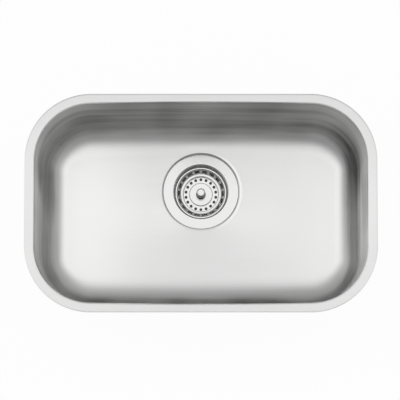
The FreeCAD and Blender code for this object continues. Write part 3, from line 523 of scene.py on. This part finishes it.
def bowl_rows():
    """Closed rows of points, from the flange's edge in to the hole in the seat."""
    columns = []
    for point, out in outline:
        column = [(*(point - out * s.x), s.y) for s in wall_section(point, out)]
        foot = Vector(column[-1])
        towards = (foot.xy - DRAIN_PLAN).normalized()
        edge = DRAIN_PLAN + towards * FLOOR_EDGE
        left_over = foot.z - floor_level(foot.x, foot.y)
        for k in range(1, FLOOR_ROWS):
            part = k / FLOOR_ROWS
            place = foot.xy.lerp(edge, part)
            column.append((*place, floor_level(*place) + left_over * (1 - part) ** 2))
        column += [(*(DRAIN_PLAN + towards * p.x), shoulder_level(p, towards.y)) for p in RECESS]
        columns.append(column)
    return columns


columns = bowl_rows()
rows = len(columns[0])
around = len(columns)
bowl = add_piece(
    "bowl",
    [point for column in columns for point in column],
    [
        (i * rows + j, (i + 1) % around * rows + j, (i + 1) % around * rows + j + 1, i * rows + j + 1)
        for i in range(around)
        for j in range(rows - 1)
    ],
)
print("bowl surface:", around, "by", rows)

# %% [markdown]
# ## The repeated pressing
# A strainer is turned metal with the same holes all the way round. Only one share of it is drawn: a narrow
# sector with its hole. A Geometry Nodes tree then sets copies of that sector round the drain's axis, makes
# them real and joins their edges, so the number of holes is one input.

# %% Ring of copies
JOIN_WITHIN = 0.004


def ring_tree():
    tree = bpy.data.node_groups.new("ring_of_copies", "GeometryNodeTree")
    face = tree.interface
    face.new_socket("Sector", in_out="INPUT", socket_type="NodeSocketGeometry")
    named = {
        "Copies": "NodeSocketInt",
        "Axis": "NodeSocketVector",
        "Join Within": "NodeSocketFloat",
        "Finish": "NodeSocketMaterial",
    }
    sockets = {
        name: face.new_socket(name, in_out="INPUT", socket_type=kind).identifier
        for name, kind in named.items()
    }
    face.new_socket("Ring", in_out="OUTPUT", socket_type="NodeSocketGeometry")

    def node(kind, **links):
        made = tree.nodes.new(kind)
        for socket, source in links.items():
            tree.links.new(source, made.inputs[socket.replace("_", " ")])
        return made

    given = node("NodeGroupInput").outputs
    places = node("GeometryNodePoints", Count=given["Copies"], Position=given["Axis"])
    share = node("ShaderNodeMath")
    share.operation = "DIVIDE"
    share.inputs[0].default_value = 2 * math.pi
    tree.links.new(given["Copies"], share.inputs[1])
    angle = node("ShaderNodeMath")
    angle.operation = "MULTIPLY"
    tree.links.new(node("GeometryNodeInputIndex").outputs[0], angle.inputs[0])
    tree.links.new(share.outputs[0], angle.inputs[1])
    turn = node("ShaderNodeCombineXYZ", Z=angle.outputs[0])
    copies = node(
        "GeometryNodeInstanceOnPoints",
        Points=places.outputs[0],
        Instance=given["Sector"],
        Rotation=turn.outputs[0],
    )
    real = node("GeometryNodeRealizeInstances", Geometry=copies.outputs[0])
    joined = node("GeometryNodeMergeByDistance", Geometry=real.outputs[0], Distance=given["Join Within"])
    finished = node("GeometryNodeSetMaterial", Geometry=joined.outputs[0], Material=given["Finish"])
    node("NodeGroupOutput", Ring=finished.outputs[0])
    return tree, sockets


RING, RING_SOCKETS = ring_tree()


def ring_of(piece, copies, finish):
    """Sets copies of a sector, drawn about the drain's axis, round that axis."""
    ring = piece.modifiers.new("ring", "NODES")
    ring.node_group = RING
    axis = tuple(DRAIN * MM)
    wanted = {"Copies": copies, "Axis": axis, "Join Within": JOIN_WITHIN * MM, "Finish": finish}
    for name, amount in wanted.items():
        ring[RING_SOCKETS[name]] = amount
    return piece


# %% [markdown]
# ## A sector with holes
# The sector is a strip of the turned section. Where it has a hole, the strip's mesh runs from a rectangle
# round the hole in to the hole's own outline, so the steel stays smooth right up to its edge.

# %% Sectors
# Rings of faces stand closer together towards a hole, and points this near a stop are left out.
CROWDED = 0.8
NEARLY_THERE = 0.02
NO_LENGTH = 1e-6


class Sector:
    """One share of a turned sheet, as a mesh about the Z axis."""

    def __init__(self, run, copies, columns):
        self.run = run
        self.share = 2 * math.pi / copies
        self.columns = columns
        self.points = []
        self.faces = []

    def place(self, angle, length):
        p = self.run.at(length)
        self.points.append((p.x * math.cos(angle), p.x * math.sin(angle), p.y))
        return len(self.points) - 1

    def plain(self, lengths):
        """Rows of faces through the given lengths along the section."""
        angles = [self.share * (i / self.columns - 0.5) for i in range(self.columns + 1)]
        grid = [[self.place(a, length) for a in angles] for length in lengths]
        for low, high in zip(grid, grid[1:]):
            for i in range(self.columns):
                self.faces.append((low[i], low[i + 1], high[i + 1], high[i]))

    def holed(self, start, finish, middle, half_angle, half_run, corner, rows, rings, turned=0.0):
        """A band from start to finish with a rounded hole, set round by a share of the sector."""
        radius = self.run.at(middle).x
        half_wide = half_angle * radius
        edge = [(i / self.columns * 2 - 1, -1) for i in range(self.columns)]
        edge += [(1, j / rows * 2 - 1) for j in range(rows)]
        edge += [(1 - i / self.columns * 2, 1) for i in range(self.columns)]
        edge += [(-1, 1 - j / rows * 2) for j in range(rows)]
        core = Vector((half_wide - corner, half_run - corner))
        loops = []
        for k in range(rings + 1):
            part = (k / rings) ** CROWDED
            loop = []
            for u, v in edge:
                outer = (u * self.share / 2, start + (finish - start) * (v + 1) / 2)
                spot = Vector((u * half_wide, v * half_run))
                inner = Vector((min(max(spot.x, -core.x), core.x), min(max(spot.y, -core.y), core.y)))
                out = spot - inner
                out = out.normalized() if out.length > NO_LENGTH else Vector((0, 0))
                hole = inner + out * corner
                inside = (hole.x / radius, middle + hole.y)
                angle = outer[0] * (1 - part) + inside[0] * part + turned * self.share
                loop.append(self.place(angle, outer[1] * (1 - part) + inside[1] * part))
            loops.append(loop)
        count = len(edge)
        for outer, inner in zip(loops, loops[1:]):
            for i in range(count):
                j = (i + 1) % count
                self.faces.append((outer[i], outer[j], inner[j], inner[i]))


def span(start, finish, steps):
    return [start + (finish - start) * k / steps for k in range(steps + 1)]


def marks(run, start, finish, longest):
    """Lengths from start to finish: every point of the section, and more on its long straight parts."""
    between = [m for m in run.marks if start + NEARLY_THERE < m < finish - NEARLY_THERE]
    stops = [start] + between + [finish]
    lengths = [start]
    for a, b in zip(stops, stops[1:]):
        lengths += span(a, b, max(1, math.ceil((b - a) / longest)))[1:]
    return lengths


def sector_piece(name, sector):
    return add_piece(name, sector.points, sector.faces)


# %% [markdown]
# ## What a finish is made of
# Every finish here starts from the piece's own coordinates, so its marks stay on the metal when a piece
# moves. Noise stretched along one way gives brushing, and the way a face looks says whether it is a floor
# or a wall.

# %% Helpers for finishes
LEVEL_FADE = (0.8, 0.97)


def place_of(finish):
    return finish.node("TexCoord", out="Object")


def facing_of(finish):
    return finish.node("NewGeometry", out="Normal")


def noise(finish, place, scale, detail=3.0, rough=0.5):
    """Noise at one scale, or at three, so that it is long one way and short another."""
    if isinstance(scale, tuple):
        place = finish.node("Mapping", sockets={"Vector": place, "Scale": scale})
        scale = 1.0
    wanted = {"Vector": place, "Scale": scale, "Detail": detail, "Roughness": rough}
    return finish.node("TexNoise", sockets=wanted)


def mixed(finish, factor, low, high):
    """Two colours mixed by a factor."""
    return finish.node("Mix", {"data_type": "RGBA"}, {0: factor, 6: low, 7: high}, out=2)


def distance(finish, place, middle):
    return finish.node("VectorMath", {"operation": "DISTANCE"}, {0: place, 1: middle}, out="Value")


def level_share(finish):
    """1 where the surface lies level, 0 where it is steep."""
    return fade(finish, axis_of(finish, facing_of(finish), "Z"), *LEVEL_FADE)


# %% [markdown]
# ## The bowl's satin steel
# All the steel reflects the same light, and what tells the pieces apart is how rough they are. The bowl is
# satin: it was brushed along its walls and its floor, so its roughness, its tone and its fine bump are
# stretched noise, long along the brushing and short across it. Wide bands stand for the uneven way a drawn
# wall takes the brush. A few dull or bright spots on the walls are painted reflections, the foot of the back
# wall is painted lighter, and the floor is painted brighter towards its ends. The outside of the bowl, which
# nobody polishes, is more even.

# %% Satin steel
DULL_WALL = (0.20, 0.202, 0.20, 1)
BRIGHT_WALL = (0.86, 0.86, 0.855, 1)
DULL_SATIN = (0.46, 0.462, 0.46, 1)
BRIGHT_SATIN = (0.66, 0.66, 0.655, 1)
# How often each noise repeats in a metre along x, y and z.
WALL_GRAIN, FLOOR_GRAIN = (5, 5, 260), (6, 700, 6)
BAND_GRAIN, PATCH_GRAIN, CLOUD_GRAIN = (3, 3, 55), (11, 11, 3), 7.0
# How far each part brings the tone of a wall from dull, at 0, to bright, at 1.
BANDS, PATCHES, WALL_LINES, WALL_BASE = 0.95, 1.2, 0.75, -0.91
# Painted light that makes the foot of the back wall lighter: its strength, then the levels and facings where
# it fades in.
BACK_FOOT_PAINTED_LIGHT, LOW_FADE, BACK_FADE = 0.42, (-0.05, -0.15), (-0.3, -0.9)
# Painted reflections, as dull and bright spots of the walls: middle and reach in metres, and strength.
PAINTED_REFLECTIONS = [
    ((0.228, 0.09, -0.125), 0.08, -0.62),
    ((0.228, -0.02, -0.125), 0.085, 0.3),
    ((-0.236, 0.06, -0.08), 0.05, -0.3),
    ((-0.17, 0.15, -0.11), 0.05, -0.25),
]
REFLECTION_CORE = 0.3
OUTER_TONE, OUTER_EVEN, OUTER_FADE = 0.6, 0.65, (0.0, 0.05)
# The same for the floor and the flange, with painted light that makes the floor lighter towards its ends.
CLOUD, FLOOR_LINES, END_PAINTED_LIGHT, FLANGE_DARKER, FLOOR_BASE = 0.5, 0.25, 0.40, 0.05, 0.08
ENDS_MIDDLE, ENDS_FADE, FLANGE_FADE = 0.03, (0.10, 0.23), (-0.02, -0.002)
# Roughness, and a smoother ring to the right of the strainer where it was rubbed.
SATIN_ROUGH, LINES_ROUGH, CLOUD_ROUGH, LEVEL_SMOOTH, RUBBED_SMOOTH = 0.28, 0.12, 0.06, 0.06, 0.12
RUBBED_RING, RUBBED_SIDE = (0.0645, 0.063), (0.02, 0.05)


def wall_tone_of(steel, place, wall_lines):
    """The tone of the walls, from bands, patches and spots of painted reflection, with painted light on the
    back wall's foot, calmer on the outside.
    """
    facing = facing_of(steel)
    low_down = fade(steel, axis_of(steel, place, "Z"), *LOW_FADE)
    back_wall = fade(steel, axis_of(steel, facing, "Y"), *BACK_FADE)
    bands = noise(steel, place, BAND_GRAIN, detail=2.0)
    patches = noise(steel, place, PATCH_GRAIN, detail=1.0)
    tone = bands * BANDS + patches * PATCHES + wall_lines * WALL_LINES
    # Painted light: the foot of the back wall is made lighter in colour.
    tone = tone + low_down * back_wall * BACK_FOOT_PAINTED_LIGHT + WALL_BASE
    # Each spot is a painted reflection, dull or bright, added to the wall's tone.
    for middle, reach, strength in PAINTED_REFLECTIONS:
        spot = fade(steel, distance(steel, place, middle), reach, reach * REFLECTION_CORE, smooth=True)
        tone = tone + spot * strength
    in_plan = steel.node("VectorMath", {"operation": "MULTIPLY"}, {0: place, 1: (1, 1, 0)})
    outwards = steel.node("VectorMath", {"operation": "DOT_PRODUCT"}, {0: in_plan, 1: facing}, out="Value")
    return tone - (tone - OUTER_TONE) * fade(steel, outwards, *OUTER_FADE) * OUTER_EVEN


def satin_steel():
    """Brushed along the walls and along the floor, a little unevenly, with painted reflections and painted
    light in its tone.
    """
    steel = Finish(bpy.data.materials.new("satin_steel"))
    place = place_of(steel)
    level = level_share(steel)
    wall_lines = noise(steel, place, WALL_GRAIN, detail=5.0, rough=0.6)
    floor_lines = noise(steel, place, FLOOR_GRAIN, detail=4.0, rough=0.6)
    lines = level * floor_lines + (1 - level) * wall_lines
    cloud = noise(steel, place, CLOUD_GRAIN, detail=2.0)
    along, up = axis_of(steel, place, "X"), axis_of(steel, place, "Z")
    end = steel.node("Math", {"operation": "ABSOLUTE"}, {0: along - ENDS_MIDDLE})
    ends = fade(steel, end, *ENDS_FADE, smooth=True)
    flange = fade(steel, up, *FLANGE_FADE)
    floor_tone = cloud * CLOUD + floor_lines * FLOOR_LINES + FLOOR_BASE
    # Painted light: the floor is lighter towards its ends, but not on the flange.
    floor_tone = floor_tone + ends * (1 - flange) * END_PAINTED_LIGHT - flange * FLANGE_DARKER
    floor_steel = mixed(steel, floor_tone, DULL_SATIN, BRIGHT_SATIN)
    wall_steel = mixed(steel, wall_tone_of(steel, place, wall_lines), DULL_WALL, BRIGHT_WALL)
    in_plan = steel.node("VectorMath", {"operation": "MULTIPLY"}, {0: place, 1: (1, 1, 0)})
    away = distance(steel, in_plan, (*(DRAIN_PLAN * MM), 0))
    rubbed = fade(steel, away, *RUBBED_RING) * fade(steel, along, *RUBBED_SIDE)
    rough = SATIN_ROUGH + lines * LINES_ROUGH + cloud * CLOUD_ROUGH
    rough = rough - level * LEVEL_SMOOTH - rubbed * RUBBED_SMOOTH
    bump = steel.node("Bump", sockets={"Strength": 0.10, "Distance": 0.0004, "Height": lines})
    metal = steel.node(
        "BsdfPrincipled",
        sockets={
            "Base Color": mixed(steel, level, wall_steel, floor_steel),
            "Metallic": 1.0,
            "Roughness": rough,
            "Anisotropic": 0.5,
            "Anisotropic Rotation": 0.25,
            "Normal": bump,
        },
    )
    return steel.close(metal)


SATIN = satin_steel()

# %% [markdown]
# ## The strainer's polished steel
# The strainer and the basket are polished where a hand can reach, with soft marks left by the press. Steep
# walls are painted darker down the well, as painted shade, and below the basket's rim they are matt. One
# finish does both pieces, with the depth in the sink and the way a face looks to tell it where it is.

# %% Polished steel
POLISHED_TONE = (0.50, 0.50, 0.497, 1)
MATT_TONE = (0.92, 0.92, 0.915, 1)
# The tone that steep walls are painted towards down the well, as painted shade.
WELL_SHADE_TONE = (0.20, 0.20, 0.20, 1)
# Levels of the sink, in metres, between which steep steel turns matt, or takes the painted shade of the
# well.
MATT_FADE, WELL_SHADE_FADE = (-0.195, -0.199), (-0.185, -0.196)
MATT_SHARE = 0.8
PRESS_GRAIN = 160.0
DULL_BLUR = 1.5


def polished_steel(name, low, high, dull_below, dull):
    """Polished on top, as it was drawn below a level of the sink, matt where a deep wall is steep, and
    painted darker down the well for shade.
    """
    steel = Finish(bpy.data.materials.new(name))
    place = place_of(steel)
    marks_left = noise(steel, place, PRESS_GRAIN)
    depth = axis_of(steel, place, "Z")
    deep = fade(steel, depth, (dull_below + DULL_BLUR) * MM, (dull_below - DULL_BLUR) * MM)
    steep = 1 - level_share(steel)
    matt_wall = steep * fade(steel, depth, *MATT_FADE)
    # Painted shade: steep walls grow darker down the well.
    well_shade = mixed(steel, steep * fade(steel, depth, *WELL_SHADE_FADE), POLISHED_TONE, WELL_SHADE_TONE)
    bump = steel.node("Bump", sockets={"Strength": 0.04, "Distance": 0.0003, "Height": marks_left})
    metal = steel.node(
        "BsdfPrincipled",
        sockets={
            "Base Color": mixed(steel, matt_wall, well_shade, MATT_TONE),
            "Metallic": 1.0 - matt_wall * MATT_SHARE,
            "Roughness": low + marks_left * (high - low) + deep * dull,
            "Normal": bump,
        },
    )
    return steel.close(metal)


STRAINER = polished_steel("strainer_steel", 0.10, 0.20, dull_below=-185, dull=0.22)
BASKET = polished_steel("basket_steel", 0.06, 0.16, dull_below=-205, dull=0.04)

# %% [markdown]
# ## Closing the bowl
# The bowl so far is a surface. Solidify gives it the sheet's thickness on the outside, a narrow bevel
# breaks its cut edges, and the finished mesh takes the CAD bowl's place.

# %% Finish the bowl
SHEET = 1.0
SHEET_EDGE = 0.2
thicken(bowl, SHEET, SHEET_EDGE)
settle(bowl, SATIN)
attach(bowl, "sink")
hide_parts("bowl_shell")

# %% [markdown]
# ## The strainer's body
# The real body is drawn from one steel sheet: a crowned flange that lies in the bowl's recess, a well, a
# ledge that carries the basket, and a cup pierced with water holes. Cutting the holes out of a turned
# surface with booleans would leave slivers along every edge. Here an eighth of the body is drawn with its
# hole already in the faces, the copies go round it, and the sheet's thickness comes last, so hole edges
# get their own wall.

# %% Strainer body
DISH_SHEET = 1.0
DISH_EDGE = 0.12
DISH_HOLES = 8
# Round holes of the cup: radius they stand at, and their own radius.
DISH_HOLE_AT = 18.0
DISH_HOLE = 4.5
DISH_BAND = (24.5, 12.3)
dish_run = Run(
    rounded_line(
        [
            (58.4, 0.1),
            (58.4, 1.3, 0.35),
            (42.3, 2.5, 1.1),
            (41, -15, 1.2),
            (37.9, -15, 1.2),
            (36.4, -43, 4),
            (11.0, -43, 1.2),
            (9.8, -50, 0.6),
            (5.1, -50),
        ]
    )
)
dish_sector = Sector(dish_run, DISH_HOLES, columns=32)
outer, inner = (dish_run.length_at(radius) for radius in DISH_BAND)
hole_at = dish_run.length_at(DISH_HOLE_AT)
dish_sector.plain(marks(dish_run, 0, outer, longest=2.0))
dish_sector.holed(
    outer, inner, hole_at, DISH_HOLE / DISH_HOLE_AT, DISH_HOLE, corner=DISH_HOLE, rows=16, rings=5
)
dish_sector.plain(marks(dish_run, inner, dish_run.marks[-1], longest=1.5))
dish = sector_piece("strainer_body", dish_sector)
ring_of(dish, DISH_HOLES, STRAINER)
thicken(dish, DISH_SHEET, DISH_EDGE)
settle(dish, STRAINER)
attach(dish, "sink")
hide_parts("strainer_dish")

# %% [markdown]
# ## The basket
# The basket is pressed from a thinner sheet and polished. From the rim inwards it has a slotted wall, a
# level shelf, a steep wall with a row of holes, a low ring with a second row, and a raised middle. All
# rows share one count, so one sector of the basket holds one slot, one side hole and one hole of the low
# ring, which sits half a step round from the others.

# %% Basket
BASKET_SHEET = 0.8
BASKET_EDGE = 0.12
SLOTS = 18
SHELF_EDGE = 27.6
# Slots of the upper wall, from one radius in to another.
SLOT_FROM, SLOT_TO = 35.9, 32.3
SLOT_WIDE = math.radians(13.7)
SLOT_CORNER, SLOT_MARGIN = 0.9, 0.35
# Holes of the steep wall and of the low ring: radius they stand at, half width, half height, corner.
SIDE_HOLE_AT, SIDE_HALF_WIDE, SIDE_HALF_TALL, SIDE_CORNER = 27.4, 1.5, 1.56, 1.5
RING_HOLE_AT, RING_HALF_WIDE, RING_HALF_TALL, RING_CORNER = 23.7, 2.3, 2.25, 2.25
SIDE_BAND = 2.3
RING_BAND = (26.5, 20.9)
LONGEST = 1.2
basket_run = Run(
    rounded_line(
        [
            (40, -13.9),
            (37.5, -13.9, 0.8),
            (31.5, -26.4, 1.0),
            (SHELF_EDGE, -26.6, 0.9),
            (27.2, -35.9, 0.4),
            (18.2, -35.9, 0.4),
            (17.9, -31.9, 0.9),
            (4.0, -31.9),
        ]
    )
)
at = basket_run.length_at
slot_high, slot_low = at(SLOT_FROM), at(SLOT_TO)
slot_band = (at(SLOT_FROM + SLOT_MARGIN), slot_low + SLOT_MARGIN)
side_middle = at(SIDE_HOLE_AT)
side_band = (side_middle - SIDE_BAND, side_middle + SIDE_BAND)
ring_band = tuple(at(radius) for radius in RING_BAND)
slot_shape = (slot_high + slot_low) / 2, SLOT_WIDE / 2, (slot_low - slot_high) / 2, SLOT_CORNER
side_shape = side_middle, SIDE_HALF_WIDE / SHELF_EDGE, SIDE_HALF_TALL, SIDE_CORNER
ring_shape = at(RING_HOLE_AT), RING_HALF_WIDE / RING_HOLE_AT, RING_HALF_TALL, RING_CORNER

basket_sector = Sector(basket_run, SLOTS, columns=16)
basket_sector.plain(marks(basket_run, 0, slot_band[0], LONGEST))
basket_sector.holed(*slot_band, *slot_shape, rows=14, rings=3)
basket_sector.plain(marks(basket_run, slot_band[1], side_band[0], LONGEST))
basket_sector.holed(*side_band, *side_shape, rows=6, rings=3)
basket_sector.plain(marks(basket_run, side_band[1], ring_band[0], LONGEST))
basket_sector.holed(*ring_band, *ring_shape, rows=6, rings=3, turned=0.5)
basket_sector.plain(marks(basket_run, ring_band[1], basket_run.marks[-1], LONGEST))
cup = sector_piece("basket", basket_sector)
ring_of(cup, SLOTS, BASKET)
thicken(cup, BASKET_SHEET, BASKET_EDGE)
settle(cup, BASKET)
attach(cup, "basket")
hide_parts("basket_cup")

# %% [markdown]
# ## The knob
# The real knob is turned from bar, so its mesh is a closed section taken round the drain's axis. Its grip
# looks dark from above and its cap pale, with a fine ring where the cap dips. The grip's dark is painted
# shade and dark reflection. One finish does both: the height in the sink says where the grip's painted
# shade ends and the polished cap begins.

# %% Turned solids
def turned_solid(name, corners, segments, finish):
    """A closed section turned about the drain's axis."""
    section = rounded_line(corners, closed=True)
    rows = len(section)
    points, faces = [], []
    for i in range(segments):
        a = 2 * math.pi * i / segments
        out = Vector((math.cos(a), math.sin(a), 0))
        points += [DRAIN + out * p.x + Vector((0, 0, p.y)) for p in section]
    for i in range(segments):
        here, there = i * rows, (i + 1) % segments * rows
        for j in range(rows):
            k = (j + 1) % rows
            if section[j].x > 0 or section[k].x > 0:
                faces.append((here + j, there + j, there + k, here + k))
    return settle(weld(add_piece(name, points, faces)), finish)


# The grip's tone is painted shade and dark reflection.
GRIP_PAINTED_SHADE = (0.05, 0.05, 0.05, 1)
GRIP_ROUGH, CAP_SMOOTH, GRIP_MARKS = 0.30, 0.2, 0.04
GRIP_GRAIN = 400.0
# Levels of the sink, in metres, between which the grip's painted shade ends and the cap begins.
CAP_FADE = (-0.1921, -0.1912)


def knob_finish():
    """A grip painted dark for shade and dark reflection, under a polished cap."""
    finish = Finish(bpy.data.materials.new("knob_grip"))
    place = place_of(finish)
    grain = noise(finish, place, GRIP_GRAIN)
    cap = fade(finish, axis_of(finish, place, "Z"), *CAP_FADE)
    surface = finish.node(
        "BsdfPrincipled",
        sockets={
            "Base Color": mixed(finish, cap, GRIP_PAINTED_SHADE, POLISHED_TONE),
            "Metallic": 1.0,
            "Roughness": GRIP_ROUGH - cap * CAP_SMOOTH + grain * GRIP_MARKS,
        },
    )
    return finish.close(surface)


# The knob's foot, grip, cap and dip, then its hollow from below, as (across, up, round).
KNOB = [
    (4.0, -31.9),
    (7.5, -31.9),
    (7.5, -30.9, 0.5),
    (6.8, -30.3, 0.4),
    (6.3, -20.0, 30.0),
    (6.6, -9.5, 3.0),
    (6.2, -6.9, 1.4),
    (4.6, -6.9, 0.2),
    (4.4, -7.2, 0.2),
    (0.0, -7.2),
    (0.0, -19.9),
    (4.0, -19.9),
]
knob = turned_solid("knob", KNOB, segments=96, finish=knob_finish())
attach(knob, "basket")
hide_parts("basket_knob")

# %% [markdown]
# ## Pieces out of sight
# Seals, screws, pads and the moulded body below the bowl hardly show from above, and the CAD's own solids
# are fine enough for them. They keep their meshes and only get finishes. Rubber and foam scatter light and
# show a fine grain, moulded plastic is smoother, and turned metal has marks left by handling.

# %% Other pieces
GRAIN, HANDLING = 900.0, 35.0
DARKER, LIGHTER = 0.75, 1.3
GRAIN_ROUGH, HANDLING_ROUGH, MEAN_ROUGH = 0.1, 0.08, 0.09


def plain_finish(name, colour, rough, metallic):
    """One colour with a fine grain, a little darker and lighter where it was handled."""
    finish = Finish(bpy.data.materials.new(name))
    place = place_of(finish)
    grain, handling = noise(finish, place, GRAIN, detail=2.0), noise(finish, place, HANDLING)
    dark, light = ([min(c * k, 1) for c in colour] + [1] for k in (DARKER, LIGHTER))
    surface = finish.node(
        "BsdfPrincipled",
        sockets={
            "Base Color": mixed(finish, handling, dark, light),
            "Metallic": metallic,
            "Roughness": rough + grain * GRAIN_ROUGH + handling * HANDLING_ROUGH - MEAN_ROUGH,
            "Normal": finish.node("Bump", sockets={"Strength": 0.2, "Distance": 0.0002, "Height": grain}),
        },
    )
    return finish.close(surface)


# Finish, colour, roughness, metallic share, and the pieces that have it.
FLOOR_PADS = ["floor_pad_left", "floor_pad_right"]
WALL_PADS = ["wall_pad_front", "wall_pad_back", "wall_pad_left", "wall_pad_right"]
TURNED = ["centre_screw", "screw_washer", "seal_washer", "basket_stem", "stem_clip"]
FINISHES = [
    ("pad_rubber", (0.09, 0.09, 0.09), 0.8, 0.0, FLOOR_PADS + WALL_PADS),
    ("seal_foam", (0.3, 0.3, 0.3), 0.9, 0.0, ["dish_seal"]),
    ("seal_rubber", (0.05, 0.05, 0.05), 0.55, 0.0, ["body_seal", "basket_seal", "stem_ring"]),
    ("black_plastic", (0.045, 0.045, 0.045), 0.45, 0.0, ["waste_body"]),
    ("brass", (0.75, 0.55, 0.25), 0.25, 1.0, ["brass_insert"]),
    ("screw_steel", (0.62, 0.62, 0.61), 0.25, 1.0, TURNED),
    # The seal plate is painted near black: painted shade, for the dark that shows through the basket's holes
    # above it.
    ("plate_painted_shade", (0.09, 0.09, 0.088), 0.5, 1.0, ["seal_plate"]),
    ("grey_plastic", (0.4, 0.4, 0.41), 0.45, 0.0, ["basket_hub"]),
]
for name, colour, rough, metallic, pieces in FINISHES:
    finish = plain_finish(name, colour, rough, metallic)
    for piece in pieces:
        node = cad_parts[piece]
        node.data.materials.clear()
        node.data.materials.append(finish)
print("finishes on the CAD's own pieces:", len(FINISHES))
